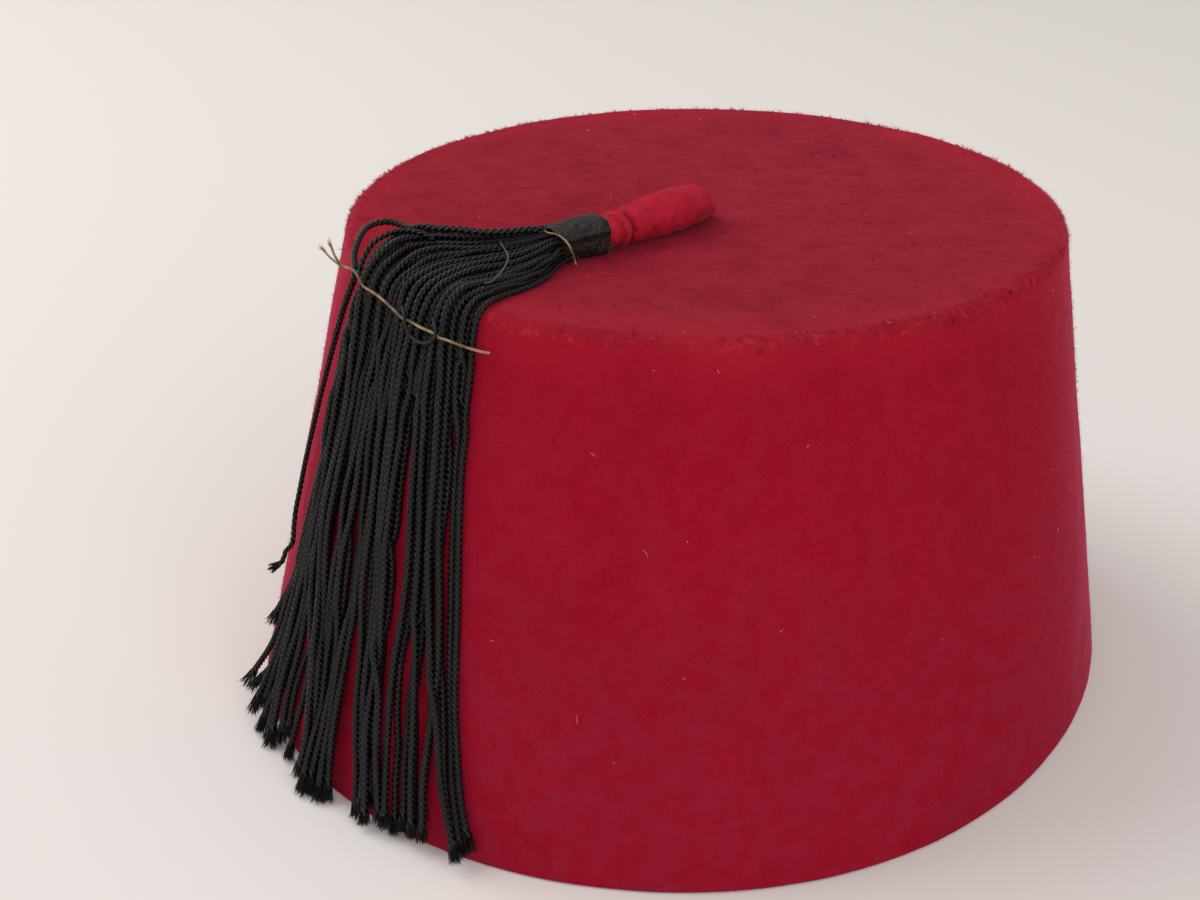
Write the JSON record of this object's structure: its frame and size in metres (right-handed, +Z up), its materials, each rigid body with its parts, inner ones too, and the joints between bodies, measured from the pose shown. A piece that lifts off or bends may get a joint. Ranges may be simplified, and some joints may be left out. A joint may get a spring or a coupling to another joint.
{
  "type": "fez hat",
  "caption": "Tapered felt fez with a slightly dished flat crown, a felt stem lying on it, a ribbon collar, and a black corded tassel hanging down the back.",
  "frame": {"origin": "centre of the head opening, level with the rim's underside", "axes": "+Z up through the crown, +Y towards the forehead; the tassel hangs at the back, towards -Y and a little to -X"},
  "size_m": [0.1742, 0.2033, 0.108],
  "materials": {
    "felt": "matt crimson wool felt, dustier on the crown, worn along the crown's edge",
    "stem_felt": "soft brighter red felt roll",
    "ribbon": "black satin ribbon, wrinkled",
    "cords": "black two-ply twisted cords, low sheen"
  },
  "bodies": {
    "root": {"felt_body": "felt", "stem": "stem_felt", "collar": "ribbon", "tassel": "cords"}
  },
  "joints": []
}
